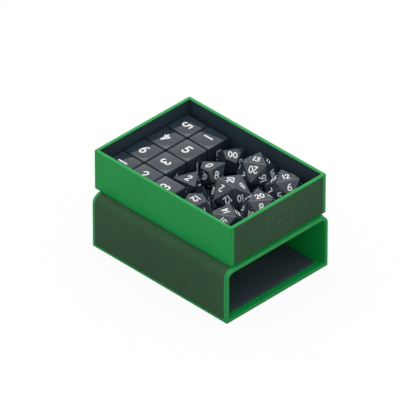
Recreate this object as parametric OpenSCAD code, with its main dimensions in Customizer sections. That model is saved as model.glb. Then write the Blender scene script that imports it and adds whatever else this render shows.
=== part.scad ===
// Dice storage chest: an open-ended sleeve with a tray of dice standing on its roof.
// Millimetres. +X points out of the sleeve's mouth, +Z up, origin under the middle of the sleeve.

/* [Six-sided dice] */
// Side of a six-sided die
die_side = 15; // [12:0.5:20]
// Air between packed dice
die_gap = 0.6; // [0.1:0.02:1]
// Air between the tray's back wall and the packed dice
packed_back = 1.64; // [0.1:0.02:4]
// How far the packed dice lie to the -Y side of the tray's middle
packed_aside = 1.5; // [0:0.1:3]
// Width of the bevel on a six-sided die
die_bevel = 0.8; // [0.3:0.1:1.5]

/* [Mixed dice] */
// Twenty-sided die, face to face
d20_flats = 19; // [15:0.5:22]
// Twelve-sided die, face to face
d12_flats = 16; // [12:0.5:20]
// Eight-sided die, face to face
d8_flats = 11.8; // [9:0.2:15]
// Ten-sided die, radius of its zigzag belt
d10_belt_r = 8.5; // [6:0.1:11]
// Ten-sided die, height of a tip above the middle
d10_tip_h = 10.3; // [8:0.1:13]
// Four-sided die, length of an edge
d4_edge = 16.5; // [12:0.5:20]
// Width of the bevel on a mixed die
mixed_bevel = 0.4; // [0.2:0.1:0.8]

/* [Tray] */
// Room between the tallest die and the tray's rim
tray_headroom = 3; // [1:0.5:10]
// Thickness of the tray's greyboard
tray_board = 1.2; // [1:0.1:3]
// Thickness of the green skin, on the tray and the sleeve
skin = 0.4; // [0.3:0.1:0.8]
// Thickness of the dark lining in the tray
lining = 0.4; // [0.3:0.1:0.8]
// Radius of the tray's upright corners
tray_corner_r = 0.8; // [0.6:0.1:1]
// Thickness of the olive skins
panel_t = 0.3; // [0.2:0.1:0.6]
// Green border on both sides of the front panel
panel_side = 2.3; // [1:0.1:5]
// Green border above and below the front panel
panel_edge = 0.6; // [0.3:0.1:3]

/* [Sleeve] */
// Thickness of the sleeve's greyboard
sleeve_board = 1.2; // [1:0.1:3]
// Thickness of the green lining in the sleeve
sleeve_lining = 0.4; // [0.3:0.1:0.8]
// Air on each side of the tray when it is in the sleeve
side_clear = 0.3; // [0.2:0.1:1]
// Least air above the tray when it is in the sleeve
top_clear = 3; // [1:0.1:6]
// Outer radius of the two bent edges of the roof
bend_r = 5; // [4:0.5:8]
// How far the tray stands out at each end of the sleeve
end_show = 0.65; // [0.2:0.05:5]
// Green border between the olive wrap and a mouth, at the front
wrap_front = 2.3; // [1:0.1:6]
// Green border between the olive wrap and a mouth, at the back
wrap_back = 1.9; // [1:0.1:6]
// Green border under the olive wrap
wrap_foot = 1.9; // [1:0.1:6]
// Radius of the olive wrap's lower corners
wrap_corner_r = 1.5; // [0.5:0.1:3]
// Thickness of the dark mat on the sleeve's floor
mat_t = 1; // [0.5:0.1:2]
// Border between the mat and a mouth
mat_front = 4.2; // [1:0.1:10]
// Border between the mat and a side wall
mat_side = 3.2; // [1:0.1:10]
// Radius of the mat's corners
mat_corner_r = 2.5; // [1:0.1:5]

/* [Tray on the roof] */
// How far the tray's middle stands behind the sleeve's middle
tray_back = 2.7; // [-20:0.1:20]
// How far the tray's middle stands to the +Y side of the sleeve's middle
tray_aside = 2.7; // [-4:0.1:4]

/* [Hidden] */
$fn = 48;

// One overrun serves every cut
over = 1;
// Air under whatever stands loose on something else
rest_gap = 0.1;
// Packed dice across the tray, and full rows of them at its back, before the odd one
dice_across = 4;
dice_rows = 2;

// Shapes of the dice
golden = (1 + sqrt(5)) / 2;
d20_edge = d20_flats * sqrt(3) / pow(golden, 2);
d20_top_r = d20_edge / sqrt(3);
d12_edge = d12_flats / sqrt((25 + 11 * sqrt(5)) / 10);
d12_top_r = d12_edge / (2 * sin(36));
d8_top_r = d8_flats / sqrt(2);
d10_zigzag = d10_tip_h * (1 - cos(36)) / (1 + cos(36));
d10_rest = atan2(d10_belt_r, d10_tip_h + d10_zigzag) - 90;
d4_height = d4_edge * sqrt(2 / 3);

// The jumble is laid out in cells as wide as its largest die
d12_cell_share = 0.845;
d10_cell_share = 0.86;
d8_cell_share = 0.715;
d4_cell_share = 0.72;
die_cell_share = 0.69;
mix_cell = max(2 * golden * d20_top_r, 2 * golden * d12_top_r / d12_cell_share,
    2 * d8_top_r / d8_cell_share, (d10_belt_r + d10_tip_h) / d10_cell_share,
    d4_edge / d4_cell_share, die_side / die_cell_share);
mix_long_share = 2.67;
mix_wide_share = 2.78;

// Tray sizes
die_pitch = die_side + die_gap;
rows_l = packed_back + dice_rows * die_pitch;
mix_l = mix_long_share * mix_cell;
inner_l = rows_l + mix_l;
inner_w = max(dice_across * die_pitch + 2 * packed_aside, mix_wide_share * mix_cell);
tallest = max(die_side, d20_flats, d12_flats, d8_flats, d4_height, 2 * d10_belt_r);
tray_wall = skin + tray_board + lining;
tray_l = inner_l + 2 * tray_wall;
tray_w = inner_w + 2 * tray_wall;
tray_h = tray_wall + tallest + tray_headroom;

// Sleeve sizes
sleeve_wall = skin + sleeve_board + sleeve_lining;
sleeve_l = tray_l - 2 * end_show;
sleeve_w = tray_w + 2 * side_clear + 2 * sleeve_wall;
sleeve_h = 2 * sleeve_wall + mat_t + tray_h + max(top_clear, bend_r - sleeve_wall);

// Where the tray stands
tray_x = -tray_back;
tray_z = sleeve_h + panel_t + rest_gap;
floor_z = tray_z + tray_wall + rest_gap;
mix_x = rows_l - inner_l / 2;

// Places of the mixed dice, their turns and the lean of one that is propped on its neighbours
d20_place_shares = [[0.4332, 0.3299], [0.8231, -0.0113], [0.4915, -0.015], [0.774, -0.3421],
    [0.7799, 0.3215]];
d20_turns = [-1.3, 22.4, -32.9, 0, 32.9];
d12_place_share = [0.43, -0.345];
d12_turn = 27;
d10_place_shares = [[0.124, 0.123], [0.122, 0.348]];
d10_turns = [-116, -88];
d10_leans = [0, 20];
d8_place_share = [0.1155, -0.1195];
d8_turn = -21;
d4_place_share = [0.3, -0.136];
d4_turn = 100;

green = [0.16, 0.53, 0.28];
olive = [0.19, 0.29, 0.21];
dark = [0.12, 0.16, 0.18];
grey_card = [0.55, 0.54, 0.5];
die_grey = [0.2, 0.22, 0.25];

// Points of a level ring of corners
function ring(r, count, turn, z) =
    [for (k = [0 : count - 1]) [r * cos(turn + k * 360 / count), r * sin(turn + k * 360 / count), z]];

function middle(face) = [for (i = [0 : 2]) [for (p = face) p[i]] * [for (p = face) 1 / len(face)]];

// The face drawn in on its own plane by the width of the bevel
function drawn_in(face, bevel) = let (c = middle(face), inner_r = norm((face[0] + face[1]) / 2 - c))
    [for (p = face) c + (p - c) * (1 - bevel / inner_r)];

// The opposite face of a solid that is the same after a turn through its middle
function opposite(faces) = [for (face = faces) [for (p = face) -p]];

function turned(p, a) = [p[0] * cos(a) - p[1] * sin(a), p[0] * sin(a) + p[1] * cos(a), p[2]];

function leaned(p, a) = [p[0] * cos(a) + p[2] * sin(a), p[1], p[2] * cos(a) - p[0] * sin(a)];

// Faces of each die, resting on one of them, about its own middle
function cube_faces() = let (t = ring(die_side / sqrt(2), 4, 45, die_side / 2),
    b = ring(die_side / sqrt(2), 4, 45, -die_side / 2),
    half = [t, [t[0], t[1], b[1], b[0]], [t[1], t[2], b[2], b[1]]])
    concat(half, opposite(half));

function d20_faces() = let (low = d20_flats / 2 - d20_top_r,
    t = ring(d20_top_r, 3, 0, d20_flats / 2),
    u = ring(golden * d20_top_r, 3, 60, low),
    d = ring(golden * d20_top_r, 3, 0, -low),
    half = concat([t], [for (k = [0 : 2]) [t[k], t[(k + 1) % 3], u[k]]],
        [for (k = [0 : 2]) [t[k], u[k], d[k]]], [for (k = [0 : 2]) [t[k], d[k], u[(k + 2) % 3]]]))
    concat(half, opposite(half));

function d12_faces() = let (low = d12_flats / 2 - d12_top_r,
    t = ring(d12_top_r, 5, 0, d12_flats / 2),
    u = ring(golden * d12_top_r, 5, 0, low),
    d = ring(golden * d12_top_r, 5, 36, -low),
    half = concat([t], [for (k = [0 : 4]) [t[k], t[(k + 1) % 5], u[(k + 1) % 5], d[k], u[k]]]))
    concat(half, opposite(half));

function d10_faces() = let (tip = [0, 0, d10_tip_h],
    u = ring(d10_belt_r, 5, -36, d10_zigzag),
    d = ring(d10_belt_r, 5, 0, -d10_zigzag),
    half = [for (k = [0 : 4]) [for (p = [tip, u[k], d[k], u[(k + 1) % 5]]) leaned(p, d10_rest)]])
    concat(half, opposite(half));

function d8_faces() = let (t = ring(d8_top_r, 3, 0, d8_flats / 2),
    b = ring(d8_top_r, 3, 60, -d8_flats / 2),
    half = concat([t], [for (k = [0 : 2]) [t[k], t[(k + 1) % 3], b[k]]]))
    concat(half, opposite(half));

function d4_faces() = let (tip = [0, 0, 3 * d4_height / 4],
    b = ring(d4_edge / sqrt(3), 3, 0, -d4_height / 4))
    concat([b], [for (k = [0 : 2]) [b[k], b[(k + 1) % 3], tip]]);

// A bevelled die with its lowest corner just over the tray's floor
module die(faces, place, turn, lean, bevel) {
    corners = [for (face = faces) for (p = drawn_in(face, bevel)) leaned(turned(p, turn), lean)];
    starts = [for (k = 0, n = 0; k < len(faces); n = n + len(faces[k]), k = k + 1) n];
    lowest = min([for (p = corners) p[2]]);
    color(die_grey)
        translate([tray_x + place[0], tray_aside + place[1], floor_z - lowest])
            hull()
                polyhedron(corners, [for (k = [0 : len(faces) - 1])
                    [for (i = [0 : len(faces[k]) - 1]) starts[k] + i]]);
}

// Packed die number k, counted from the back wall and from the +Y side
module six_sided_die(k) {
    row = floor((k - 1) / dice_across);
    column = row < dice_rows ? (k - 1) % dice_across : dice_across - 1;
    x = packed_back + row * die_pitch + die_side / 2 - inner_l / 2;
    y = (dice_across / 2 - column - 0.5) * die_pitch - packed_aside;
    die(cube_faces(), [x, y], 0, 0, die_bevel);
}

module mixed_die(faces, place_share, turn, lean) {
    die(faces, [mix_x + place_share[0] * mix_l, place_share[1] * inner_w], turn, lean, mixed_bevel);
}

module twenty_sided_die(k) {
    mixed_die(d20_faces(), d20_place_shares[k - 1], d20_turns[k - 1], 0);
}

module twelve_sided_die() {
    mixed_die(d12_faces(), d12_place_share, d12_turn, 0);
}

module ten_sided_die(k) {
    mixed_die(d10_faces(), d10_place_shares[k - 1], d10_turns[k - 1], d10_leans[k - 1]);
}

module eight_sided_die() {
    mixed_die(d8_faces(), d8_place_share, d8_turn, 0);
}

module four_sided_die() {
    mixed_die(d4_faces(), d4_place_share, d4_turn, 0);
}

// A flat sheet or board that lies centred on the tray's middle
module tray_slab(l, w, z, t) {
    translate([tray_x - l / 2, tray_aside - w / 2, tray_z + z])
        cube([l, w, t]);
}

// A rectangle with round corners, centred
module round_rect(l, w, r) {
    square([l - 2 * r, w], center = true);
    square([l, w - 2 * r], center = true);
    for (x = [r - l / 2, l / 2 - r], y = [r - w / 2, w / 2 - r])
        translate([x, y])
            circle(r);
}

module tray_bottom_cover() {
    color(green)
        tray_slab(tray_l - 2 * skin, tray_w - 2 * skin, 0, skin);
}

module tray_floor_board() {
    color(grey_card)
        tray_slab(tray_l - 2 * skin, tray_w - 2 * skin, skin, tray_board);
}

module tray_end_board(side) {
    color(grey_card)
        translate([side * (tray_l / 2 - skin - tray_board / 2), 0, 0])
            tray_slab(tray_board, tray_w - 2 * skin, skin + tray_board, tray_h - 2 * skin - tray_board);
}

module tray_front_board() {
    tray_end_board(1);
}

module tray_back_board() {
    tray_end_board(-1);
}

module tray_side_board(side) {
    color(grey_card)
        translate([0, side * (tray_w / 2 - skin - tray_board / 2), 0])
            tray_slab(tray_l - 2 * skin - 2 * tray_board, tray_board, skin + tray_board,
                tray_h - 2 * skin - tray_board);
}

module tray_left_board() {
    tray_side_board(-1);
}

module tray_right_board() {
    tray_side_board(1);
}

// Green skin round the four walls, turned in over the rim
module tray_wall_cover() {
    color(green)
        difference() {
            translate([tray_x, tray_aside, tray_z])
                linear_extrude(tray_h)
                    round_rect(tray_l, tray_w, tray_corner_r);
            tray_slab(tray_l - 2 * skin, tray_w - 2 * skin, -over, tray_h - skin + over);
            tray_slab(inner_l, inner_w, 0, tray_h + over);
        }
}

module tray_wall_lining() {
    color(dark)
        difference() {
            tray_slab(inner_l + 2 * lining, inner_w + 2 * lining, skin + tray_board,
                tray_h - 2 * skin - tray_board);
            tray_slab(inner_l, inner_w, 0, tray_h + over);
        }
}

module tray_floor_lining() {
    color(dark)
        tray_slab(inner_l, inner_w, skin + tray_board, lining);
}

// Olive panel glued to the tray's front
module tray_front_panel() {
    w = tray_w - 2 * panel_side;
    color(olive)
        translate([tray_x + tray_l / 2, tray_aside - w / 2, tray_z + panel_edge])
            cube([panel_t, w, tray_h - 2 * panel_edge]);
}

// Upright section with a flat foot and two round upper corners, drawn from z0 to z1
module arch_section(w, z0, z1, r) {
    translate([-w / 2, z0])
        square([w, z1 - z0 - r]);
    translate([r - w / 2, z0])
        square([w - 2 * r, z1 - z0]);
    for (y = [r - w / 2, w / 2 - r])
        translate([y, z1 - r])
            circle(r);
}

// The section carried along X, centred
module arch(l, w, z0, z1, r) {
    rotate([90, 0, 90])
        translate([0, 0, -l / 2])
            linear_extrude(l)
                arch_section(w, z0, z1, r);
}

module sleeve_base_cover() {
    color(green)
        linear_extrude(skin)
            square([sleeve_l, sleeve_w], center = true);
}

module sleeve_base_board() {
    color(grey_card)
        translate([skin - sleeve_l / 2, skin - sleeve_w / 2, skin])
            cube([sleeve_l - 2 * skin, sleeve_w - 2 * skin, sleeve_board]);
}

// Both side walls and the roof, bent from one board
module sleeve_shell_board() {
    top = sleeve_h - skin;
    color(grey_card)
        difference() {
            arch(sleeve_l - 2 * skin, sleeve_w - 2 * skin, skin + sleeve_board, top, bend_r - skin);
            arch(sleeve_l + over, sleeve_w - 2 * skin - 2 * sleeve_board, 0, top - sleeve_board,
                bend_r - skin - sleeve_board);
        }
}

// Green skin over the shell, turned in round both mouths
module sleeve_outer_cover() {
    color(green)
        difference() {
            arch(sleeve_l, sleeve_w, skin, sleeve_h, bend_r);
            arch(sleeve_l - 2 * skin, sleeve_w - 2 * skin, -over, sleeve_h - skin, bend_r - skin);
            arch(sleeve_l + over, sleeve_w - 2 * sleeve_wall, sleeve_wall, sleeve_h - sleeve_wall,
                bend_r - sleeve_wall);
        }
}

module sleeve_inner_lining() {
    floor_top = skin + sleeve_board;
    color(green)
        difference() {
            arch(sleeve_l - 2 * skin, sleeve_w - 2 * floor_top, floor_top, sleeve_h - floor_top,
                bend_r - floor_top);
            arch(sleeve_l + over, sleeve_w - 2 * sleeve_wall, sleeve_wall, sleeve_h - sleeve_wall,
                bend_r - sleeve_wall);
        }
}

// Olive skin glued over both walls and the roof, with round lower corners
module sleeve_olive_wrap() {
    l = sleeve_l - wrap_front - wrap_back;
    tall = sleeve_h + panel_t - wrap_foot + wrap_corner_r;
    color(olive)
        intersection() {
            difference() {
                arch(sleeve_l, sleeve_w + 2 * panel_t, wrap_foot, sleeve_h + panel_t, bend_r + panel_t);
                arch(sleeve_l + over, sleeve_w, 0, sleeve_h, bend_r);
            }
            translate([(wrap_back - wrap_front) / 2, 0, wrap_foot + tall / 2])
                rotate([90, 0, 0])
                    linear_extrude(sleeve_w + over, center = true)
                        round_rect(l, tall, wrap_corner_r);
        }
}

module sleeve_floor_mat() {
    color(dark)
        translate([0, 0, sleeve_wall])
            linear_extrude(mat_t)
                round_rect(sleeve_l - 2 * mat_front, sleeve_w - 2 * sleeve_wall - 2 * mat_side,
                    mat_corner_r);
}

sleeve_base_cover();
sleeve_base_board();
sleeve_shell_board();
sleeve_outer_cover();
sleeve_inner_lining();
sleeve_olive_wrap();
sleeve_floor_mat();
tray_bottom_cover();
tray_floor_board();
tray_front_board();
tray_back_board();
tray_left_board();
tray_right_board();
tray_wall_cover();
tray_wall_lining();
tray_floor_lining();
tray_front_panel();
six_sided_die(1);  // six_sided_die_1
six_sided_die(2);  // six_sided_die_2
six_sided_die(3);  // six_sided_die_3
six_sided_die(4);  // six_sided_die_4
six_sided_die(5);  // six_sided_die_5
six_sided_die(6);  // six_sided_die_6
six_sided_die(7);  // six_sided_die_7
six_sided_die(8);  // six_sided_die_8
six_sided_die(9);  // six_sided_die_9
twenty_sided_die(1);  // twenty_sided_die_1
twenty_sided_die(2);  // twenty_sided_die_2
twenty_sided_die(3);  // twenty_sided_die_3
twenty_sided_die(4);  // twenty_sided_die_4
twenty_sided_die(5);  // twenty_sided_die_5
twelve_sided_die();
ten_sided_die(1);  // ten_sided_die_1
ten_sided_die(2);  // ten_sided_die_2
eight_sided_die();
four_sided_die();
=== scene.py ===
"""Looks of the dice storage chest: a card sleeve with its tray of dice standing on the roof."""

import math

import bpy
import numpy as np
from bpy.props import FloatProperty, FloatVectorProperty, IntProperty, PointerProperty
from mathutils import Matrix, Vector


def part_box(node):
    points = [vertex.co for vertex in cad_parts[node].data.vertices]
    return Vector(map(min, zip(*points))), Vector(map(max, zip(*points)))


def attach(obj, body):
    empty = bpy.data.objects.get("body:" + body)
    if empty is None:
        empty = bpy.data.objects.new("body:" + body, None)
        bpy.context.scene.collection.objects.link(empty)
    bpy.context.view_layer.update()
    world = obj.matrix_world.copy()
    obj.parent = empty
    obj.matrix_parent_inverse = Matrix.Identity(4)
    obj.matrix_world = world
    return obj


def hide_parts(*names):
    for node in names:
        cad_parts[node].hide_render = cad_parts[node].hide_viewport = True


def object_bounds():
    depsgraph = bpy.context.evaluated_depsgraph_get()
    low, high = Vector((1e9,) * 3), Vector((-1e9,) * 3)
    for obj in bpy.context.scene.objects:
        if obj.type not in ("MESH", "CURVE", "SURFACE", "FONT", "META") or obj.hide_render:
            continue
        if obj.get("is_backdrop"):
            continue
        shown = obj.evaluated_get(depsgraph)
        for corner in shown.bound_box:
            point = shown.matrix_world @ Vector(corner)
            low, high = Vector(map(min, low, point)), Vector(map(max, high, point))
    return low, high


bl_info = {
    "name": "Dice Storage Chest",
    "version": (1, 0, 0),
    "blender": (4, 5, 0),
    "location": "View3D > Sidebar > Dice Chest",
    "description": "Skins, linings, dice and stage for the dice storage chest",
    "category": "Object",
}

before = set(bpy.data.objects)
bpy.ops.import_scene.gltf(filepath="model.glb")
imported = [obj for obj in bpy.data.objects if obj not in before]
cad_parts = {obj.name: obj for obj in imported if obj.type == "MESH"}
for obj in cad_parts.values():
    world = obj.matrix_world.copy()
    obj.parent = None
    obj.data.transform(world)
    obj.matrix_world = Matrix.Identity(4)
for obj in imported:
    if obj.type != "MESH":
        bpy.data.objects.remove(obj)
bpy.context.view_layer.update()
MM = 0.001


def node_box(node):
    """Lowest and highest corner of a CAD node as numpy rows."""
    low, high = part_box(node)
    return np.array(low), np.array(high)


def node_height(node):
    """Height of a CAD node, which for a die on its face is the way between two opposite faces."""
    low, high = node_box(node)
    return high[2] - low[2]


# -------------------------------- properties


def length(name, millimetres, description):
    """A length as a property."""
    return FloatProperty(name=name, default=millimetres * MM, unit="LENGTH",
                         description=description)


def shade(name, colour, description):
    """A colour as a property, as it is seen on a screen."""
    return FloatVectorProperty(name=name, default=colour, subtype="COLOR_GAMMA",
                               description=description)


class ChestSizes(bpy.types.PropertyGroup):
    """Sizes that the looks add to the CAD sizes."""

    lip: length("Mouth rounding", 0.7,
                "How far the sleeve's mouth edges are rounded along its length")
    foot_radius: length("Foot radius", 0.8, "Radius of the sleeve's lower long edges")
    bend_radius: length("Bend radius", 5, "Outer radius of the two bent edges of the roof")
    skin_fade: length("Olive edge fade", 0.5,
                      "Distance over which the olive skins run down to nothing")
    wrap_corner: length("Wrap corner", 1.5, "Radius of the olive wrap's lower corners")
    rim_radius: length("Rim radius", 0.45, "Rounding of the tray's rim")
    tray_corner: length("Tray corner", 0.8, "Radius of the tray's upright corners")
    mat_corner: length("Mat corner", 2.5, "Radius of the floor mat's corners")
    emblem: length("Emblem", 17.5, "Side of the pressed die face on the front panel")
    emblem_height: length("Emblem height", 0.1, "How far the pressed lines stand up")


class DiceSizes(bpy.types.PropertyGroup):
    """Sizes of the dice and their numerals."""

    belt_radius: length("Ten-sided belt", 8.5, "Radius of the ten-sided die's zigzag belt")
    tip_height: length("Ten-sided tip", 10.3,
                       "Height of the ten-sided die's tip above its middle")
    small_edge: length("Four-sided edge", 16.5, "Edge of the four-sided die")
    square_bevel: length("Six-sided rounding", 0.8, "Edge rounding of the six-sided dice")
    mixed_bevel: length("Mixed rounding", 0.4, "Edge rounding of the mixed dice")
    bevel_steps: IntProperty(name="Rounding steps", default=3, min=1,
                             description="Faces across each rounded edge")
    numeral_share: FloatProperty(name="Stroke", default=0.155, subtype="FACTOR",
                                 description="Stroke width as a share of a numeral's height")
    numeral_proud: length("Paint height", 0.04, "How far the numerals' paint stands up")


class ChestColours(bpy.types.PropertyGroup):
    """Colours of the finishes."""

    green: shade("Green skin", (0.05, 0.634, 0.294), "Cover of the tray and the sleeve")
    olive: shade("Olive skin", (0.212, 0.347, 0.242),
                 "Wrap of the sleeve and the tray's front panel")
    lining: shade("Dark lining", (0.2, 0.262, 0.305), "Lining of the tray")
    mat: shade("Mat", (0.25, 0.292, 0.335), "Mat on the sleeve's floor")
    board: shade("Greyboard", (0.55, 0.54, 0.5), "Card core of the walls")
    die: shade("Die plastic", (0.17, 0.215, 0.26), "Body of the dice")
    numeral: shade("Numeral paint", (1.0, 1.0, 1.0), "Paint in the dice's numerals")
    floor: shade("Floor", (0.8, 0.8, 0.8), "Floor under the chest")


class StageSizes(bpy.types.PropertyGroup):
    """Camera and light."""

    lens: FloatProperty(name="Lens", default=800, unit="CAMERA",
                        description="Focal length in millimetres")
    view_width: length("View width", 214.4, "Width of what the camera sees at the chest")
    target: FloatVectorProperty(name="Target", subtype="TRANSLATION",
                                default=(-2.8 * MM, 1.3 * MM, 28 * MM),
                                description="Point in the middle of the picture")
    sky: FloatProperty(name="Sky", default=0.62, min=0,
                       description="Strength of the even light all round")
    top: FloatProperty(name="Top light", default=1.6, min=0,
                       description="Radiance of the large soft lamp overhead")


PROPERTY_GROUPS = {"chest_sizes": ChestSizes, "dice_sizes": DiceSizes,
                   "chest_colours": ChestColours, "chest_stage": StageSizes}


# -------------------------------- materials


def linear(colour):
    """Screen colour to light, by the standard screen curve, with alpha 1."""
    c = np.array(colour[:3])
    return (*np.where(c <= 0.04045, c / 12.92, ((c + 0.055) / 1.055) ** 2.4), 1.0)


class Term:
    """A socket of a node tree, whose arithmetic adds Math nodes."""

    def __init__(self, nodes, socket):
        self.nodes, self.socket = nodes, socket

    def _math(self, operation, *terms):
        return self.nodes.node("ShaderNodeMath", {"operation": operation}, dict(enumerate(terms)))

    def __add__(self, other):
        return self._math("ADD", self, other)

    def __mul__(self, other):
        return self._math("MULTIPLY", self, other)

    __radd__ = __add__
    __rmul__ = __mul__


class Nodes:
    """A node tree whose nodes all come from one method."""

    def __init__(self, tree):
        self.tree = tree

    def plug(self, socket, value):
        """Links a term to a socket, or sets the socket to a value."""
        if isinstance(value, Term):
            self.tree.links.new(value.socket, socket)
        else:
            socket.default_value = value

    def node(self, kind, settings=None, sockets=None, out=0):
        """Adds a node, sets its settings first, then links or sets its sockets."""
        made = self.tree.nodes.new(kind)
        for name, value in (settings or {}).items():
            setattr(made, name, value)
        for name, value in (sockets or {}).items():
            self.plug(made.inputs[name], value)
        return Term(self, made.outputs[out])


class Finish(Nodes):
    """A material under construction, with one Principled shader."""

    def __init__(self, name, colour, roughness):
        self.material = bpy.data.materials.new(name)
        self.material.use_nodes = True
        super().__init__(self.material.node_tree)
        self.shader = self.tree.nodes["Principled BSDF"]
        self.feed("Base Color", colour)
        self.feed("Roughness", roughness)
        self.place = self.node("ShaderNodeTexCoord", out="Object")

    def feed(self, socket, value):
        """Links or sets a socket of the shader."""
        self.plug(self.shader.inputs[socket], value)

    def noise(self, scale, detail=2.0, roughness=0.5):
        """Noise from 0 to 1 with about scale spots a metre."""
        return self.node("ShaderNodeTexNoise", sockets={
            "Vector": self.place, "Scale": scale, "Detail": detail, "Roughness": roughness})

    def ramp(self, term, low, high):
        """0 below low and 1 above high."""
        return self.node("ShaderNodeMapRange", {"clamp": True},
                         {"Value": term, "From Min": low, "From Max": high})

    def mix(self, share, first, second):
        """The first colour at share 0 and the second at share 1."""
        return self.node("ShaderNodeMix", {"data_type": "RGBA"},
                         {0: share, 6: first, 7: second}, out=2)

    def attribute(self, name):
        """A number that the mesh carries at its points."""
        return self.node("ShaderNodeAttribute", {"attribute_name": name}, out="Fac")

    def bump(self, height, distance, strength):
        """Feeds the normal with a height from 0 to 1 times distance."""
        self.feed("Normal", self.node("ShaderNodeBump", sockets={
            "Height": height, "Distance": distance, "Strength": strength}))


def scaled(colour, factor):
    """The colour times a factor, and no brighter than white."""
    return (*(min(1.0, c * factor) for c in colour[:3]), 1.0)


def blended(first, second, share):
    """The first colour with a share of the second."""
    return (*(a + (b - a) * share for a, b in zip(first[:3], second[:3])), 1.0)


def skin_finish(name, colour, roughness, gloss, card, rub_and_highlight):
    """Coated book paper: a fine even grain, faint clouding, and folds rubbed until card shows,
    with a painted highlight in the same lighter colour on lit edges.
    """
    finish = Finish(name, colour, roughness)
    grain = finish.noise(2600, 3, 0.6)
    weave = finish.noise(900, 2, 0.5)
    cloud = finish.ramp(finish.noise(45, 3), 0.3, 0.7)
    tone = finish.mix(cloud, scaled(colour, 0.96), scaled(colour, 1.05))
    # Marked places are drawn lighter towards the card's colour: rubbed wear at folds and borders,
    # and a painted highlight on the sleeve's mouth edge and the tray's rim.
    wear_and_highlight = finish.attribute("wear_and_highlight") * finish.ramp(finish.noise(380, 3), 0.3, 0.75)
    finish.feed("Base Color", finish.mix(wear_and_highlight, tone, blended(colour, card, rub_and_highlight)))
    finish.feed("Roughness", finish.ramp(grain, 0.2, 0.8) * 0.14 + (roughness - 0.07))
    finish.feed("Specular IOR Level", gloss)
    finish.bump(grain * 0.6 + weave * 0.4, 0.05 * MM, 0.5)
    return finish.material


def lining_finish(name, colour):
    """Dark flocked lining: short matt fibres and a soft sheen."""
    finish = Finish(name, colour, 0.85)
    fibre = finish.noise(3200, 4, 0.7)
    patch = finish.ramp(finish.noise(120, 3), 0.3, 0.7)
    nap = finish.mix(fibre, scaled(colour, 0.7), scaled(colour, 1.35))
    finish.feed("Base Color", finish.mix(patch * 0.35, nap, scaled(colour, 1.2)))
    finish.feed("Specular IOR Level", 0.15)
    finish.bump(fibre, 0.12 * MM, 0.6)
    return finish.material


def board_finish(name, colour):
    """Greyboard: pressed grey pulp with lighter and darker flecks."""
    finish = Finish(name, colour, 0.9)
    fleck = finish.ramp(finish.noise(1500, 4, 0.7), 0.35, 0.65)
    finish.feed("Base Color", finish.mix(fleck, scaled(colour, 0.8), scaled(colour, 1.15)))
    finish.bump(fleck, 0.05 * MM, 0.5)
    return finish.material


def plastic_finish(name, colour):
    """Moulded glossy plastic: faint swirls, and fine handling marks that dull the gloss."""
    finish = Finish(name, colour, 0.12)
    finish.feed("IOR", 1.6)
    swirl = finish.ramp(finish.noise(160, 3), 0.35, 0.7)
    scuff = finish.ramp(finish.noise(1400, 5, 0.7), 0.45, 0.75)
    finish.feed("Base Color", finish.mix(swirl, scaled(colour, 0.9), scaled(colour, 1.12)))
    finish.feed("Roughness", scuff * 0.1 + 0.09)
    finish.bump(scuff, 0.004 * MM, 0.3)
    return finish.material


def paint_finish(name, colour):
    """Numeral paint: matt white with a faint grime where it is thin."""
    finish = Finish(name, colour, 0.5)
    thin = finish.ramp(finish.noise(1100, 3), 0.35, 0.7)
    finish.feed("Base Color", finish.mix(thin, scaled(colour, 0.86), colour))
    finish.bump(thin, 0.02 * MM, 0.3)
    return finish.material


def make_finishes(colours):
    """All the materials, by the name of their finish."""
    card = scaled(linear(colours.board), 1.3)
    return {
        "green": skin_finish("green_book_paper", linear(colours.green), 0.5, 0.28, card, 0.22),
        "olive": skin_finish("olive_book_paper", linear(colours.olive), 0.62, 0.15, card, 0.14),
        "lining": lining_finish("dark_flock", linear(colours.lining)),
        "mat": lining_finish("dark_mat_felt", linear(colours.mat)),
        "board": board_finish("greyboard", linear(colours.board)),
        "die": plastic_finish("black_die_plastic", linear(colours.die)),
        "numeral": paint_finish("white_numeral_paint", linear(colours.numeral)),
    }


FINISHES = {}


def finish_of(name):
    """The material of that name of finish; the first call makes them all."""
    if not FINISHES:
        FINISHES.update(make_finishes(bpy.context.scene.chest_colours))
    return FINISHES[name]


# -------------------------------- surfaces


# Straight run on both sides of a round corner, and the least radius that an inset leaves it
HOLD, LEAST_RADIUS = 0.25 * MM, 0.05 * MM
# How far the olive skins' edges lie off the green, and how far their undersides reach into it
SKIN_LIFT, SKIN_SUNK = 0.01 * MM, 0.05 * MM


def volume(points, faces):
    """Signed volume: a sixth of the sum of the corners' triple products over triangle fans."""
    total = 0.0
    for count in {len(face) for face in faces}:
        corners = points[np.array([face for face in faces if len(face) == count])]
        fans = np.cross(corners[:, 1:-1], corners[:, 2:])
        total += np.einsum("ij,ikj->", corners[:, 0], fans)
    return total / 6


def linked(name, points, faces):
    """A mesh object in the scene with these corners and faces."""
    mesh = bpy.data.meshes.new(name)
    mesh.from_pydata(points.tolist(), [], [face.tolist() for face in faces])
    made = bpy.data.objects.new(name, mesh)
    bpy.context.scene.collection.objects.link(made)
    return made


def add_piece(name, points, faces, finish, body, smooth=True, wear_and_highlight=None):
    """A mesh object at the origin with outward faces, its material and its body."""
    if volume(points, faces) < 0:
        faces = [face[::-1] for face in faces]
    piece = linked(name, points, faces)
    mesh = piece.data
    mesh.polygons.foreach_set("use_smooth", np.full(len(mesh.polygons), smooth))
    if wear_and_highlight is not None:
        layer = mesh.attributes.new("wear_and_highlight", "FLOAT", "POINT")
        layer.data.foreach_set("value", np.asarray(wear_and_highlight, np.float32))
    mesh.update()
    mesh.materials.append(finish_of(finish))
    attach(piece, body)
    return piece


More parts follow.
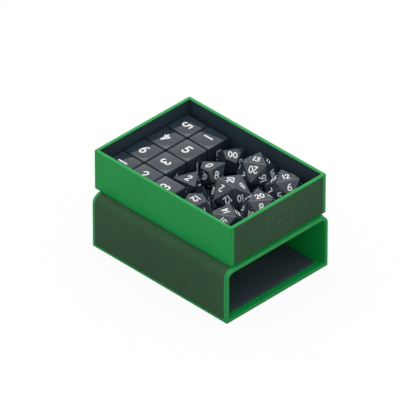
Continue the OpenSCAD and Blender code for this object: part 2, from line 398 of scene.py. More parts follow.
def quads(rows, columns, wrap_rows=False, wrap_columns=False, start=0):
    """Faces of a grid of points counted row by row, closed on itself where it wraps."""
    r = np.arange(rows if wrap_rows else rows - 1)
    c = np.arange(columns if wrap_columns else columns - 1)
    r, c = np.meshgrid(r, c, indexing="ij")
    r2, c2 = (r + 1) % rows, (c + 1) % columns
    corners = [r * columns + c, r * columns + c2, r2 * columns + c2, r2 * columns + c]
    return list(np.stack(corners, -1).reshape(-1, 4) + start)


def caps(rows, columns, start=0):
    """Faces that close the first and the last row of a grid whose rows are rings."""
    row = start + np.arange(columns)
    return [row[::-1], row + (rows - 1) * columns]


def round_rectangle(half_a, half_b, radii, steps, inset=0.0):
    """Closed outline of a rectangle with round corners.

    Each corner is a quarter circle about its own centre, with one holding point on the straight
    on both of its sides. radii go counter-clockwise from (+a, +b). An inset moves the outline
    inwards.
    """
    points = []
    turn = np.linspace(0, math.pi / 2, steps + 1)
    for k, (sa, sb) in enumerate([(1, 1), (-1, 1), (-1, -1), (1, -1)]):
        r = max(radii[k] - inset, LEAST_RADIUS)
        angle = turn + k * math.pi / 2
        out = np.stack([np.cos(angle), np.sin(angle)], 1)
        bend = np.array([sa * (half_a - inset - r), sb * (half_b - inset - r)]) + r * out
        points += [bend[:1] - HOLD * out[-1], bend, bend[-1:] - HOLD * out[0]]
    return np.concatenate(points)


def rolled(radius, top, steps):
    """Inset and height of an edge rolled over inwards by a quarter circle."""
    turn = np.linspace(0, math.pi / 2, steps)
    return [(radius - radius * math.cos(a), top - radius + radius * math.sin(a)) for a in turn]


def carried_round(profile, half, radius, steps, centre=(0, 0)):
    """A profile of inset and height, each point carried round a rectangle with round corners."""
    rings = []
    for inset, z in profile:
        loop = round_rectangle(half[0], half[1], [radius] * 4, steps, inset)
        rings.append(np.column_stack([loop + centre, np.full(len(loop), z)]))
    return np.array(rings)


def fade(distance, width):
    """Rises from 0 at an edge to 1 at the given width with a smooth step."""
    t = np.clip(distance / width, 0, 1)
    return t * t * (3 - 2 * t)


# -------------------------------- sleeve


def sleeve_section(half_width, low, high, top_radius, foot_radius):
    """The sleeve's section in Y and Z, counter-clockwise from the top right bend."""
    radii = [top_radius, top_radius, foot_radius, foot_radius]
    return round_rectangle(half_width, (high - low) / 2, radii, 10) + [0, (high + low) / 2]


def build_sleeve_shell():
    """The green tube: its section carried along X, its mouths rounded from the outer face in.

    Rows go round the wall's own profile, whose share runs from 0 on the outer section to 1 on
    the inner one, and columns go round the section. On a mouth the share is half of one minus
    cosine while X bulges by a flattened sine.
    """
    sizes = bpy.context.scene.chest_sizes
    high = node_box("sleeve_outer_cover")[1]
    foot = node_box("sleeve_base_cover")[0][2]
    inner_low, inner_high = node_box("sleeve_inner_lining")
    wall = high[2] - inner_high[2] + (node_box("sleeve_floor_mat")[0][2] - inner_low[2])
    inner_foot_radius = 0.4 * MM
    outer = sleeve_section(high[1], foot, high[2], sizes.bend_radius, sizes.foot_radius)
    inner = sleeve_section(high[1] - wall, foot + wall, high[2] - wall,
                           sizes.bend_radius - wall, inner_foot_radius)
    lip, flatness = sizes.lip, 0.6
    turn = np.linspace(0, math.pi, 13)
    share = (1 - np.cos(turn)) / 2
    bulge = high[0] - lip + lip * np.sin(turn) ** flatness
    hold = high[0] - lip - 0.3 * MM
    profile = np.concatenate([[[hold - 1.6 * MM, 0.0], [hold, 0.0]],
                              np.stack([bulge, share], 1), [[hold, 1.0]]])
    profile = np.concatenate([profile, profile[::-1] * [-1, 1]])
    x, s = profile[:, 0], profile[:, 1]
    grid = np.empty((len(profile), len(outer), 3))
    grid[..., 0] = x[:, None]
    grid[..., 1:] = outer[None] * (1 - s)[:, None, None] + inner[None] * s[:, None, None]
    # The mouth's rounding is drawn lighter: partly rubbed wear, partly a painted highlight,
    # painted stronger on the roof and weaker inside as if lit from above.
    roof = fade(grid[..., 2] - (high[2] - 4 * MM), 3 * MM)
    wear_and_highlight = (fade(np.abs(x) - hold, lip) * (1 - 0.6 * s))[:, None] * (0.2 + 0.8 * roof)
    piece = add_piece("sleeve_shell", grid.reshape(-1, 3), quads(*grid.shape[:2], True, True),
                      "green", "sleeve", wear_and_highlight=wear_and_highlight.ravel())
    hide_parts("sleeve_outer_cover", "sleeve_inner_lining", "sleeve_base_cover")


def build_sleeve_wrap():
    """The olive skin: the outer section from one foot over the roof to the other.

    foot is the way up from the nearer lower edge: a straight wall, a quarter circle and the
    roof. The skin is lifted off the green by its thickness, which fades to nothing at all four
    borders, and each row is shortened by the round lower corners.
    """
    sizes = bpy.context.scene.chest_sizes
    low, high = node_box("sleeve_olive_wrap")
    green = node_box("sleeve_outer_cover")[1][2]
    thick = high[2] - green
    r = sizes.bend_radius
    roof, wall, bend = high[1] - thick - r, green - r - low[2], r * math.pi / 2
    total = 2 * (roof + wall + bend)
    edge = np.array([0, 0.06, 0.14, 0.25, 0.4, 0.6, 0.8, 1.1, 1.5]) * MM
    along = np.concatenate([edge, np.linspace(edge[-1], wall, 6)[1:],
                            wall + np.linspace(0, bend, 11)[1:],
                            wall + bend + np.linspace(0, roof, 8)[1:]])
    along = np.concatenate([along, total - along[-2::-1]])
    foot = np.minimum(along, total - along)
    turn = np.clip(foot - wall, 0, bend) / r
    side = np.where(along <= total / 2, 1, -1)
    ny, nz = -np.cos(turn) * side, np.sin(turn)
    y = r * ny + (np.maximum(foot - wall - bend, 0) - roof) * side
    z = r * nz + green - r - np.maximum(wall - foot, 0)
    corner = sizes.wrap_corner
    cut = corner - np.sqrt(np.maximum(corner ** 2 - np.maximum(corner - foot, 0) ** 2, 0))
    middle, half = (low[0] + high[0]) / 2, (high[0] - low[0]) / 2 - cut
    left = np.concatenate([edge, [10 * MM, 25 * MM]]) - half[:, None]
    x = np.concatenate([left, np.zeros((len(half), 1)), -left[:, ::-1]], 1)
    border = np.minimum(half[:, None] - np.abs(x), foot[:, None])

    def off_the_green(height):
        return np.stack([x + middle, y[:, None] + ny[:, None] * height,
                         z[:, None] + nz[:, None] * height], -1)

    top = off_the_green(thick * fade(border, sizes.skin_fade) + SKIN_LIFT)
    under = off_the_green(np.full_like(x, -SKIN_SUNK))
    grid = np.concatenate([top, under[:, ::-1]], 1)
    faces = quads(*grid.shape[:2], False, True) + caps(*grid.shape[:2])
    near = fade(2.5 * MM - border, 2 * MM) * 0.25
    wear_and_highlight = np.concatenate([near, near[:, ::-1]], 1)
    piece = add_piece("sleeve_wrap", grid.reshape(-1, 3), faces, "olive", "sleeve",
                      wear_and_highlight=wear_and_highlight.ravel())
    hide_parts("sleeve_olive_wrap")


def build_sleeve_mat():
    """The dark mat: a rectangle with round corners, its top edge rolled over."""
    low, high = node_box("sleeve_floor_mat")
    roll = 0.5 * MM
    profile = [(0.0, low[2])] + rolled(roll, high[2], 5) + [(roll + 0.3 * MM, high[2])]
    mat_corner = bpy.context.scene.chest_sizes.mat_corner
    grid = carried_round(profile, (high - low) / 2, mat_corner, 6)
    faces = quads(*grid.shape[:2], False, True) + caps(*grid.shape[:2])
    piece = add_piece("sleeve_mat", grid.reshape(-1, 3), faces, "mat", "sleeve")
    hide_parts("sleeve_floor_mat")


# -------------------------------- tray


def build_tray_cover():
    """The green skin of the tray: its wall's profile, rolled at the rim, carried round it."""
    sizes = bpy.context.scene.chest_sizes
    low, high = node_box("tray_wall_cover")
    wall = node_box("tray_floor_lining")[0][0] - low[0]
    skin = high[2] - node_box("tray_wall_lining")[1][2]
    under_rim = high[2] - skin - 0.15 * MM
    r, foot = sizes.rim_radius, 0.25 * MM
    turn = np.linspace(0, math.pi / 2, 6)
    profile = [(foot - foot * math.sin(a), low[2] + foot - foot * math.cos(a)) for a in turn]
    profile += [(0, high[2] - r - 0.4 * MM)] + rolled(r, high[2], 6)
    profile += [(wall - r + r * math.sin(a), high[2] - r + r * math.cos(a)) for a in turn]
    profile += [(wall, under_rim), (skin, under_rim), (skin, low[2])]
    grid = carried_round(profile, (high - low) / 2, sizes.tray_corner, 5, (low + high)[:2] / 2)
    # The rim and the top of the wall are drawn lighter: partly rubbed wear, partly a painted
    # highlight where the light from above falls.
    rub_and_highlight = fade(grid[:, 0, 2] - (high[2] - 1.2 * MM), 1.0 * MM) * 0.25
    piece = add_piece("tray_cover", grid.reshape(-1, 3), quads(*grid.shape[:2], True, True),
                      "green", "tray", wear_and_highlight=np.repeat(rub_and_highlight, grid.shape[1]))
    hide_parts("tray_wall_cover")


def pressed_die(y, z, side, line_width):
    """Height from 0 to 1 of a pressed die face: a round-cornered square line and five pips.

    The distance to a round-cornered square is that to a smaller square less the corner radius.
    """
    r, pip_place, pip_radius = side * 0.22, side * 0.25, side * 0.075
    qy, qz = np.abs(y) - (side / 2 - r), np.abs(z) - (side / 2 - r)
    square = np.hypot(np.maximum(qy, 0), np.maximum(qz, 0)) - r
    square += np.minimum(np.maximum(qy, qz), 0)
    height = 1 - fade(np.abs(square) - line_width / 2, line_width / 2)
    for py, pz in [(0, 0), (1, 1), (1, -1), (-1, 1), (-1, -1)]:
        far = np.hypot(y - py * pip_place, z - pz * pip_place) - pip_radius
        height = np.maximum(height, 1 - fade(far, line_width / 2))
    return height


def build_front_panel():
    """The olive panel on the tray's front.

    A grid in Y and Z, whose thickness fades at the edges and rises by the pressed die face in
    the middle, with upright sides and a back that reach into the green.
    """
    sizes = bpy.context.scene.chest_sizes
    low, high = node_box("tray_front_panel")
    thick = high[0] - low[0] - sizes.emblem_height
    edge = np.array([0, 0.1, 0.22, 0.36, 0.5, 0.8]) * MM
    pitch, line_width = 0.3 * MM, 0.55 * MM

    def spread(a, b):
        """Places from a to b, closer together near both ends."""
        inner = np.linspace(a + edge[-1], b - edge[-1], int((b - a) / pitch))
        return np.concatenate([a + edge[:-1], inner, b - edge[-2::-1]])

    y, z = np.meshgrid(spread(low[1], high[1]), spread(low[2], high[2]), indexing="ij")
    rim = np.minimum(np.minimum(y - low[1], high[1] - y), np.minimum(z - low[2], high[2] - z))
    mark = pressed_die(y - (low[1] + high[1]) / 2, z - (low[2] + high[2]) / 2, sizes.emblem,
                       line_width)
    x = low[0] + SKIN_LIFT + thick * fade(rim, sizes.skin_fade) + sizes.emblem_height * mark
    top = np.stack([x, y, z], -1).reshape(-1, 3)
    rows, columns = x.shape
    border = np.concatenate([np.arange(columns), np.arange(1, rows) * columns + columns - 1,
                             (rows - 1) * columns + np.arange(columns - 2, -1, -1),
                             np.arange(rows - 2, 0, -1) * columns])
    back = top[border]
    back[:, 0] = low[0] - SKIN_SUNK
    under = len(top) + np.arange(len(border))
    sides = np.stack([border, under, np.roll(under, -1), np.roll(border, -1)], 1)
    faces = quads(rows, columns) + list(sides) + [under[::-1]]
    rub_and_highlight = fade(2 * MM - rim, 2 * MM) * 0.2 + mark * 0.9
    piece = add_piece("tray_front_skin", np.concatenate([top, back]), faces, "olive", "tray",
                      wear_and_highlight=np.concatenate([rub_and_highlight.ravel(), np.zeros(len(border))]))
    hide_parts("tray_front_panel")


# Finishes of the CAD nodes that stay
CARRIED = {"sleeve_base_board": "board", "sleeve_shell_board": "board",
           "tray_bottom_cover": "green", "tray_floor_board": "board",
           "tray_front_board": "board", "tray_back_board": "board", "tray_left_board": "board",
           "tray_right_board": "board", "tray_wall_lining": "lining",
           "tray_floor_lining": "lining"}


def dress_carried_nodes():
    """Gives each CAD node that stays its own finish."""
    for name, finish in CARRIED.items():
        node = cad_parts[name]
        if not node.material_slots:
            node.data.materials.append(None)
        for slot in node.material_slots:
            slot.material = finish_of(finish)


# -------------------------------- shapes of the dice


GOLDEN = (1 + math.sqrt(5)) / 2


def ring(r, count, turn, z):
    """Level ring of corners about Z."""
    angle = np.radians(turn + 360 / count * np.arange(count))
    return np.stack([r * np.cos(angle), r * np.sin(angle), np.full(count, z)], 1)


def with_opposites(half):
    """A solid that is the same when turned inside out through its middle, from half its faces."""
    half = [np.array(face, float) for face in half]
    return half + [-face for face in half]


def cube_faces(side):
    """Six faces: a level square and two upright ones from its edges down, and their opposites."""
    r = side / math.sqrt(2)
    t, b = ring(r, 4, 45, side / 2), ring(r, 4, 45, -side / 2)
    return with_opposites([t, [t[0], t[1], b[1], b[0]], [t[1], t[2], b[2], b[1]]])


def d20_faces(flats):
    """Twenty faces from four rings of three corners.

    The level face's corners lie on a circle of the flats over the golden ratio squared. The next
    ring lies that radius lower, and its circle is wider by the golden ratio.
    """
    r = flats / GOLDEN ** 2
    low = flats / 2 - r
    t, u = ring(r, 3, 0, flats / 2), ring(GOLDEN * r, 3, 60, low)
    d = ring(GOLDEN * r, 3, 0, -low)
    half = [t]
    for k in range(3):
        half += [[t[k], t[(k + 1) % 3], u[k]], [t[k], u[k], d[k]], [t[k], d[k], u[(k + 2) % 3]]]
    return with_opposites(half)


def d12_faces(flats):
    """Twelve faces from four rings of five corners.

    The edge is the flats over the root of 25 and 11 roots of five, over 10. The ring below the
    level face lies its circle's radius lower, on a circle wider by the golden ratio.
    """
    edge = flats / math.sqrt((25 + 11 * math.sqrt(5)) / 10)
    r = edge / (2 * math.sin(math.radians(36)))
    low = flats / 2 - r
    t, u = ring(r, 5, 0, flats / 2), ring(GOLDEN * r, 5, 0, low)
    d = ring(GOLDEN * r, 5, 36, -low)
    return with_opposites([t] + [[t[k], t[(k + 1) % 5], u[(k + 1) % 5], d[k], u[k]]
                                 for k in range(5)])


def d10_faces(belt, tip):
    """Ten kites between two tips and a zigzag belt, leaned until one of them is level.

    The belt's corners lie off the middle by the tip's height times one minus over one plus the
    cosine of 36 degrees, which makes the kites flat.
    """
    cosine = math.cos(math.radians(36))
    zigzag = tip * (1 - cosine) / (1 + cosine)
    lean = math.degrees(math.atan2(belt, tip + zigzag)) - 90
    top, u, d = np.array([0, 0, tip]), ring(belt, 5, -36, zigzag), ring(belt, 5, 0, -zigzag)
    return with_opposites([leaned(np.array([top, u[k], d[k], u[(k + 1) % 5]]), lean)
                           for k in range(5)])


def d8_faces(flats):
    """Eight faces: a level triangle on a circle of the flats over the root of two, and the same
    below, turned by 60 degrees."""
    r = flats / math.sqrt(2)
    t, b = ring(r, 3, 0, flats / 2), ring(r, 3, 60, -flats / 2)
    return with_opposites([t] + [[t[k], t[(k + 1) % 3], b[k]] for k in range(3)])


def d4_faces(edge):
    """Four faces: a level triangle a quarter of the height below the middle, and a tip."""
    height = edge * math.sqrt(2 / 3)
    tip, b = np.array([0, 0, 3 * height / 4]), ring(edge / math.sqrt(3), 3, 0, -height / 4)
    return [b] + [np.array([b[k], b[(k + 1) % 3], tip]) for k in range(3)]


def turned(points, degrees):
    """Points turned about Z, counter-clockwise seen from above."""
    a = math.radians(degrees)
    c, s = math.cos(a), math.sin(a)
    return points @ np.array([[c, s, 0], [-s, c, 0], [0, 0, 1]])


def leaned(points, degrees):
    """Points turned about Y, their top towards +X."""
    a = math.radians(degrees)
    c, s = math.cos(a), math.sin(a)
    return points @ np.array([[c, 0, -s], [0, 1, 0], [s, 0, c]])


# -------------------------------- numerals


def arc(cx, cy, rx, ry, start, end, steps):
    """Points along an ellipse from one angle in degrees to another."""
    angle = np.radians(np.linspace(start, end, steps + 1))
    return np.stack([cx + rx * np.cos(angle), cy + ry * np.sin(angle)], 1)


def curve(a, b, c, steps=7):
    """Points along a curve from a to c that is drawn towards b."""
    t = np.linspace(0, 1, steps + 1)[:, None]
    return (1 - t) ** 2 * np.array(a) + 2 * t * (1 - t) * np.array(b) + t ** 2 * np.array(c)


def line(*points):
    """Points that straight strokes join."""
    return np.array(points, float)


# Centre lines of the digits in a box one unit high, with the advance to the next digit. A closed
# stroke is a ring.
SIX = [("ring", arc(0.3, 0.32, 0.215, 0.235, 0, 342, 19)),
       ("open", curve((0.09, 0.36), (0.1, 0.78), (0.43, 0.915)))]
TWO_BOW = np.concatenate([arc(0.29, 0.69, 0.2, 0.225, 165, -35, 9), line((0.1, 0.085))])
FIVE_BOW = np.concatenate([line((0.1, 0.53)), arc(0.27, 0.335, 0.235, 0.25, 100, -150, 10)])
DIGITS = {
    "0": (0.62, [("ring", arc(0.3, 0.5, 0.215, 0.415, 0, 342, 19))]),
    "1": (0.36, [("open", line((0.17, 0.085), (0.17, 0.915)))]),
    "2": (0.6, [("open", TWO_BOW), ("open", line((0.1, 0.085), (0.52, 0.085)))]),
    "3": (0.6, [("open", arc(0.27, 0.705, 0.195, 0.21, 150, -90, 9)),
                ("open", arc(0.27, 0.29, 0.225, 0.205, 90, -155, 10))]),
    "4": (0.62, [("open", line((0.42, 0.085), (0.42, 0.915))),
                 ("open", line((0.42, 0.915), (0.06, 0.31))),
                 ("open", line((0.06, 0.31), (0.57, 0.31)))]),
    "5": (0.6, [("open", line((0.13, 0.915), (0.49, 0.915))),
                ("open", line((0.13, 0.915), (0.1, 0.53))), ("open", FIVE_BOW)]),
    "6": (0.62, SIX),
    "7": (0.58, [("open", line((0.09, 0.915), (0.52, 0.915))),
                 ("open", line((0.52, 0.915), (0.2, 0.085)))]),
    "8": (0.62, [("ring", arc(0.3, 0.71, 0.185, 0.2, 0, 337.5, 15)),
                 ("ring", arc(0.3, 0.295, 0.22, 0.21, 0, 340, 17))]),
    "9": (0.62, [(form, np.array([0.6, 1.0]) - points) for form, points in SIX]),
    ".": (0.24, [("open", line((0.08, 0.085), (0.09, 0.085)))]),
}
# How far a text's later strokes stand above the one before, and how far paint reaches into a die
STROKE_STEP, PAINT_SUNK = 0.006 * MM, 0.1 * MM


def stroke_ribbon(form, centre, half):
    """Left and right edge of a stroke of constant width with round ends: points by side by 2.

    At an open end the line runs on by half a width, while the half width falls as the root of
    one minus the square of the share run.
    """
    if form == "ring":
        ahead, behind = np.roll(centre, -1, 0), np.roll(centre, 1, 0)
        width = np.full(len(centre), half)
    else:
        run = np.array([0.5, 0.87, 0.995])
        first, last = centre[0] - centre[1], centre[-1] - centre[-2]
        first, last = first / np.linalg.norm(first), last / np.linalg.norm(last)
        end = half * np.sqrt(1 - run ** 2)
        width = np.concatenate([end[::-1], np.full(len(centre), half), end])
        centre = np.concatenate([centre[0] + half * run[::-1, None] * first, centre,
                                 centre[-1] + half * run[:, None] * last])
        ahead = np.concatenate([centre[1:], 2 * centre[-1:] - centre[-2:-1]])
        behind = np.concatenate([2 * centre[:1] - centre[1:2], centre[:-1]])
    along = ahead - behind
    along /= np.linalg.norm(along, axis=1)[:, None]
    out = np.stack([-along[:, 1], along[:, 0]], 1) * width[:, None]
    return np.stack([centre + out, centre - out], 1)


def written(text, height, half_share):
    """Ribbons of a text of that height, each with whether it is closed.

    The middle of the text is at zero, and a dot after it doesn't count towards its width.
    """
    start = -sum(DIGITS[c][0] for c in text if c != ".") / 2
    ribbons = []
    for c in text:
        advance, strokes = DIGITS[c]
        for form, centre in strokes:
            ribbon = stroke_ribbon(form, centre + [start, -0.5], half_share)
            ribbons.append((form == "ring", ribbon * height))
        start += advance
    return ribbons


def face_frame(face, towards):
    """Middle of a face, its right and up with up nearest to towards, and its outward normal."""
    middle = face.mean(0)
    normal = np.cross(face[1] - face[0], face[2] - face[1])
    normal /= np.linalg.norm(normal)
    if normal @ middle < 0:
        normal = -normal
    up = towards - (towards @ normal) * normal
    up /= np.linalg.norm(up)
    return middle, np.cross(up, normal), up, normal


def paint_text(ribbons, middle, right, up, normal, proud):
    """Solid strokes on a face: each ribbon's two edges at the paint's height and under the face.

    Each stroke stands a hair higher than the one before it, so that crossing strokes share no
    face.
    """
    points, faces, count = [], [], 0
    for order, (closed, ribbon) in enumerate(ribbons):
        raised, sunk = normal * (proud + order * STROKE_STEP), normal * PAINT_SUNK
        flat = middle + ribbon[..., :1] * right + ribbon[..., 1:] * up
        left, far = flat[:, 0], flat[:, 1]
        section = np.stack([left + raised, far + raised, far - sunk, left - sunk], 1)
        rows = len(section)
        faces += quads(rows, 4, closed, True, count)
        if not closed:
            faces += caps(rows, 4, count)
        points.append(section.reshape(-1, 3))
        count += rows * 4
    return np.concatenate(points), faces


def direction(azimuth, elevation):
    """Unit vector towards an azimuth and an elevation in degrees."""
    a, e = math.radians(azimuth), math.radians(elevation)
    return np.array([math.cos(e) * math.cos(a), math.cos(e) * math.sin(a), math.sin(e)])


# -------------------------------- dice


class Die:
    """One die: its faces in place, and what is written on them.

    marks lists (text, azimuth and elevation of the face, azimuth and elevation that the text's
    up points to). numbers are what all the faces say, and opposite faces add up to total;
    without a total the marks are all that is written. A 6 and a 9 are dotted. A die rides on
    its own loose body, unless body names another.
    """

    def __init__(self, node, faces, bevel, height, marks, numbers=(), total=None, turn=0,
                 lean=0, dotted=True, body=None):
        self.node, self.bevel, self.height = node, bevel, height
        self.marks, self.numbers, self.total, self.dotted = marks, numbers, total, dotted
        self.body = body or node + "_loose"
        self.faces = [leaned(turned(face, turn), lean) for face in faces]
        corners = np.concatenate([self.drawn_in(face) for face in self.faces])
        low, high = node_box(node)
        self.middle = (low + high) / 2 - (corners.min(0) + corners.max(0)) / 2

    def drawn_in(self, face):
        """The face drawn in by the bevel, as the CAD solid has it."""
        middle = face.mean(0)
        inner = np.linalg.norm((face[0] + face[1]) / 2 - middle)
        return middle + (face - middle) * (1 - self.bevel / inner)

    def to_corner(self, index):
        """From a face's middle to its first corner, where a chosen numeral's up points."""
        return self.faces[index][0] - self.faces[index].mean(0)

    def texts(self):
        """Text and up direction of each face: the stated ones, their opposites, then the rest."""
        normals = np.array([face.mean(0) / np.linalg.norm(face.mean(0)) for face in self.faces])
        found = {}
        for text, face_at, up_to in self.marks:
            found[int(np.argmax(normals @ direction(*face_at)))] = (text, direction(*up_to))
        if self.total is None:
            return found
        opposite = np.argmin(normals @ normals.T, 1).tolist()
        for index, (text, _) in list(found.items()):
            far = opposite[index]
            if far not in found:
                found[far] = (str(self.total - int(text)), self.to_corner(far))
        used = {text for text, _ in found.values()}
        left = [str(n) for n in self.numbers if str(n) not in used]
        for index in range(len(self.faces)):
            if index in found:
                continue
            text, far = left.pop(0), opposite[index]
            found[index] = (text, self.to_corner(index))
            other = str(self.total - int(text))
            if far not in found and other in left:
                left.remove(other)
                found[far] = (other, self.to_corner(far))
        return found

    def build(self):
        """The body, with its corners merged, its faces outward and its edges rounded."""
        sizes = bpy.context.scene.dice_sizes
        corners = np.concatenate(self.faces)
        places = np.round(corners / MM, 3) + 0.0
        _, first, same = np.unique(places, axis=0, return_index=True, return_inverse=True)
        order = np.argsort(first)
        index = np.argsort(order)[same.ravel()]
        faces = np.split(index, np.cumsum([len(face) for face in self.faces])[:-1])
        for k, face in enumerate(self.faces):
            if np.cross(face[1] - face[0], face[2] - face[1]) @ face.mean(0) < 0:
                faces[k] = faces[k][::-1]
        piece = add_piece(self.node + "_body", corners[first[order]] + self.middle, faces, "die",
                          self.body)
        soft = piece.modifiers.new("rounded_edges", "BEVEL")
        soft.width, soft.segments, soft.limit_method = self.bevel, sizes.bevel_steps, "NONE"
        soft.harden_normals = self.bevel < 0.6 * MM
        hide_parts(self.node)
        self.build_numerals(sizes)

    def build_numerals(self, sizes):
        """All the painted numerals of the die as one piece."""
        points, faces, count = [], [], 0
        for index, (text, towards) in self.texts().items():
            middle, *axes = face_frame(self.faces[index], towards)
            dotted = text + "." if self.dotted and text in ("6", "9") else text
            ribbons = written(dotted, self.height, sizes.numeral_share / 2)
            p, f = paint_text(ribbons, middle + self.middle, *axes, sizes.numeral_proud)
            points.append(p)
            faces += [face + count for face in f]
            count += len(p)
        add_piece(self.node + "_numerals", np.concatenate(points), faces, "numeral", self.body,
                  smooth=False)


# Packed dice from the back wall and the +Y side: top number, azimuth of its up, and the number
# on the +X face
PACKED = [(5, 0, 4), (4, 270, 6), (6, 90, 2), (1, 0, 3), (1, 0, 5), (5, 90, 1), (3, 0, 6),
          (2, 90, 4), (3, 180, 2)]

# The twenty-sided dice: turn about Z and marks
TWENTIES = [
    (-1.3, [("13", (0, 90), (114, 0)), ("20", (300, 48), (300, -40)),
            ("16", (338, 19), (250, -7)), ("7", (262, 19), (16, 49)),
            ("11", (60, 48), (100, 20)), ("18", (22, 19), (110, -3))]),
    (22.4, [("20", (0, 90), (157, 0)), ("8", (322, 48), (322, -40)),
            ("14", (82, 48), (82, -40)), ("2", (202, 48), (202, -40)),
            ("10", (284, 19), (284, 60))]),
    (-32.9, [("20", (0, 90), (214, 0)), ("2", (268, 48), (268, -40)),
             ("12", (306, 19), (16, -44)), ("8", (28, 48), (28, -40)),
             ("10", (350, 19), (340, -60)), ("18", (230, 19), (208, 50)),
             ("14", (148, 48), (148, -40))]),
    (0, [("14", (0, 90), (248, 0)), ("15", (300, 48), (72, 30)), ("13", (60, 48), (128, 20)),
         ("17", (338, 19), (8, 60))]),
    (32.9, [("12", (0, 90), (150, 0)), ("10", (93, 48), (273, 60)), ("6", (333, 48), (140, 50)),
            ("15", (213, 48), (150, 20))]),
]


def build_packed_dice():
    """The nine six-sided dice: opposite faces add up to seven."""
    bevel = bpy.context.scene.dice_sizes.square_bevel
    for k, (top, up, side) in enumerate(PACKED):
        node = f"six_sided_die_{k + 1}"
        third = next(n for n in range(1, 7) if n not in (top, 7 - top, side, 7 - side))
        marks = [(str(top), (0, 90), (up, 0)), (str(side), (0, 0), (0, 90)),
                 (str(third), (270, 0), (0, 90))]
        Die(node, cube_faces(node_height(node)), bevel, 6.5 * MM, marks, range(1, 7), 7,
            dotted=False).build()


def build_mixed_dice():
    """The ten mixed dice.

    Opposite faces add up to one more than the count of faces, and to nine on the ten-sided die
    with ones. The one with tens and the four-sided one, caught under its neighbour, have their
    marks alone.
    """
    sizes = bpy.context.scene.dice_sizes
    kites = d10_faces(sizes.belt_radius, sizes.tip_height)

    def build(node, faces, height, marks, *rule, **more):
        Die(node, faces, sizes.mixed_bevel, height * MM, marks, *rule, **more).build()

    for k, (turn, marks) in enumerate(TWENTIES):
        node = f"twenty_sided_die_{k + 1}"
        build(node, d20_faces(node_height(node)), 4.15, marks, range(1, 21), 21, turn)
    build("twelve_sided_die", d12_faces(node_height("twelve_sided_die")), 4.7,
          [("12", (0, 90), (355, 0)), ("11", (351, 27), (351, 80)), ("5", (279, 27), (279, 80))],
          range(1, 13), 13, 27)
    build("ten_sided_die_1", kites, 4.7,
          [("0", (0, 90), (77, 0)), ("8", (315, 35), (104, 51))], range(10), 9, -116)
    build("ten_sided_die_2", kites, 4.2,
          [("00", (0, 70), (134, 10)), ("60", (20, 30), (92, 0))], turn=-88, lean=20)
    build("eight_sided_die", d8_faces(node_height("eight_sided_die")), 5,
          [("2", (0, 90), (99, 0))], range(1, 9), 9, -21)
    build("four_sided_die", d4_faces(sizes.small_edge), 3.4,
          [("3", (160, 20), (160, 80)), ("1", (280, 20), (280, 80)),
           ("2", (40, 20), (40, 80)), ("4", (0, -90), (0, 0))], turn=100, body="tray")


# -------------------------------- stage


# In metres
FLOOR_REACH, FLOOR_DROP = 3.0, 0.02 * MM
LAMP_WIDTH, LAMP_PLACE = 1.6, (-0.2, 0.1, 1.4)
# Share of plain white in what the camera sees of the floor; the rest keeps the chest's shadow
FLOOR_GLOW = 0.92
WHITE = (1, 1, 1, 1)


def build_floor():
    """A level sheet just under the chest, nearly white to the camera and pale to the light."""
    colour = linear(bpy.context.scene.chest_colours.floor)
    reach = [-FLOOR_REACH, 0, FLOOR_REACH]
    x, y = np.meshgrid(reach, reach, indexing="ij")
    z = np.full_like(x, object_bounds()[0][2] - FLOOR_DROP)
    floor = linked("studio_floor", np.stack([x, y, z], -1).reshape(-1, 3), quads(3, 3))
    floor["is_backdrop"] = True
    finish = Finish("pale_floor", colour, 0.9)
    finish.feed("Specular IOR Level", 0.0)
    rays = finish.node("ShaderNodeLightPath", out="Is Camera Ray")
    finish.feed("Base Color", finish.mix(rays, colour, WHITE))
    glow = finish.node("ShaderNodeEmission", sockets={"Color": WHITE, "Strength": 1.0})
    shown = finish.node("ShaderNodeMixShader", sockets={
        0: rays * FLOOR_GLOW, 1: Term(finish, finish.shader.outputs[0]), 2: glow})
    output = next(n for n in finish.tree.nodes if n.type == "OUTPUT_MATERIAL")
    finish.plug(output.inputs["Surface"], shown)
    floor.data.materials.append(finish.material)


def build_sky():
    """An even world: plain white to the camera and in gloss, and the sky's strength as light."""
    world = bpy.data.worlds.new("studio_sky")
    world.use_nodes = True
    bpy.context.scene.world = world
    nodes = Nodes(world.node_tree)
    background = nodes.tree.nodes["Background"]
    camera_ray = nodes.node("ShaderNodeLightPath", out="Is Camera Ray")
    glossy_ray = nodes.node("ShaderNodeLightPath", out="Is Glossy Ray")
    seen = nodes.node("ShaderNodeMath", {"operation": "MAXIMUM"}, {0: camera_ray, 1: glossy_ray})
    strength = nodes.node("ShaderNodeMapRange", sockets={
        "Value": seen, "To Min": bpy.context.scene.chest_stage.sky, "To Max": 1.0})
    nodes.plug(background.inputs["Color"], WHITE)
    nodes.plug(background.inputs["Strength"], strength)


def build_lamp():
    """One large soft disk overhead, whose power is its radiance times pi times its area."""
    lamp = bpy.data.lights.new("overhead_softbox", "AREA")
    lamp.shape, lamp.size = "DISK", LAMP_WIDTH
    area = math.pi * (lamp.size / 2) ** 2
    lamp.energy = bpy.context.scene.chest_stage.top * math.pi * area
    lamp.specular_factor = 0.0
    overhead = bpy.data.objects.new("overhead_softbox", lamp)
    overhead.location = LAMP_PLACE
    overhead.visible_camera = False
    overhead.rotation_euler = (-overhead.location).to_track_quat("-Z", "Y").to_euler()
    bpy.context.scene.collection.objects.link(overhead)


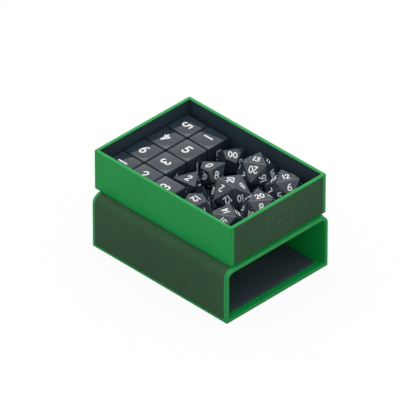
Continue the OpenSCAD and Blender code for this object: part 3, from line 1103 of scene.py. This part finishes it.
def build_camera():
    """The camera on the picture's diagonal, as far back as its lens needs for the view's width."""
    scene = bpy.context.scene
    stage = scene.chest_stage
    camera = bpy.data.cameras.new("picture_camera")
    camera.lens, camera.sensor_width = stage.lens, 36
    camera.clip_start, camera.clip_end = 0.1, 20
    eye = bpy.data.objects.new("picture_camera", camera)
    back = Vector((1, -1, 1)).normalized()
    eye.location = Vector(stage.target) + back * (stage.view_width * stage.lens
                                                  / camera.sensor_width)
    eye.rotation_mode = "QUATERNION"
    eye.rotation_quaternion = (-back).to_track_quat("-Z", "Y")
    scene.collection.objects.link(eye)
    scene.camera = eye
    scene.view_settings.view_transform = "Standard"


# -------------------------------- operators and panel


class CHEST_OT_sleeve(bpy.types.Operator):
    """Build the sleeve's green shell, olive wrap and floor mat"""

    bl_idname = "chest.sleeve"
    bl_label = "Build Sleeve"

    def execute(self, context):
        build_sleeve_shell()
        build_sleeve_wrap()
        build_sleeve_mat()
        return {"FINISHED"}


class CHEST_OT_tray(bpy.types.Operator):
    """Build the tray's cover and front panel"""

    bl_idname = "chest.tray"
    bl_label = "Build Tray"

    def execute(self, context):
        build_tray_cover()
        build_front_panel()
        return {"FINISHED"}


class CHEST_OT_carried(bpy.types.Operator):
    """Give the CAD nodes that stay their own finish"""

    bl_idname = "chest.carried"
    bl_label = "Dress Boards and Linings"

    def execute(self, context):
        dress_carried_nodes()
        return {"FINISHED"}


class CHEST_OT_packed_dice(bpy.types.Operator):
    """Build the nine packed six-sided dice"""

    bl_idname = "chest.packed_dice"
    bl_label = "Build Packed Dice"

    def execute(self, context):
        build_packed_dice()
        return {"FINISHED"}


class CHEST_OT_mixed_dice(bpy.types.Operator):
    """Build the ten mixed dice"""

    bl_idname = "chest.mixed_dice"
    bl_label = "Build Mixed Dice"

    def execute(self, context):
        build_mixed_dice()
        return {"FINISHED"}


class CHEST_OT_stage(bpy.types.Operator):
    """Set the floor, the light and the camera"""

    bl_idname = "chest.stage"
    bl_label = "Set Stage"

    def execute(self, context):
        build_floor()
        build_sky()
        build_lamp()
        build_camera()
        return {"FINISHED"}


OPERATORS = [CHEST_OT_sleeve, CHEST_OT_tray, CHEST_OT_carried, CHEST_OT_packed_dice,
             CHEST_OT_mixed_dice, CHEST_OT_stage]


class CHEST_PT_panel(bpy.types.Panel):
    """Sizes, colours and steps of the dice storage chest"""

    bl_label = "Dice Storage Chest"
    bl_idname = "CHEST_PT_panel"
    bl_space_type = "VIEW_3D"
    bl_region_type = "UI"
    bl_category = "Dice Chest"

    def draw(self, context):
        for name, group in PROPERTY_GROUPS.items():
            box = self.layout.box()
            box.label(text=name.replace("_", " ").capitalize())
            for prop in group.__annotations__:
                box.prop(getattr(context.scene, name), prop)
        for step in OPERATORS:
            self.layout.operator(step.bl_idname)


CLASSES = [*PROPERTY_GROUPS.values(), *OPERATORS, CHEST_PT_panel]


def register():
    for made in CLASSES:
        bpy.utils.register_class(made)
    for name, group in PROPERTY_GROUPS.items():
        setattr(bpy.types.Scene, name, PointerProperty(type=group))


def unregister():
    for name in PROPERTY_GROUPS:
        delattr(bpy.types.Scene, name)
    for made in reversed(CLASSES):
        bpy.utils.unregister_class(made)


def main():
    register()
    for step in OPERATORS:
        getattr(bpy.ops.chest, step.bl_idname.split(".")[1])()


if __name__ == "__main__":
    main()
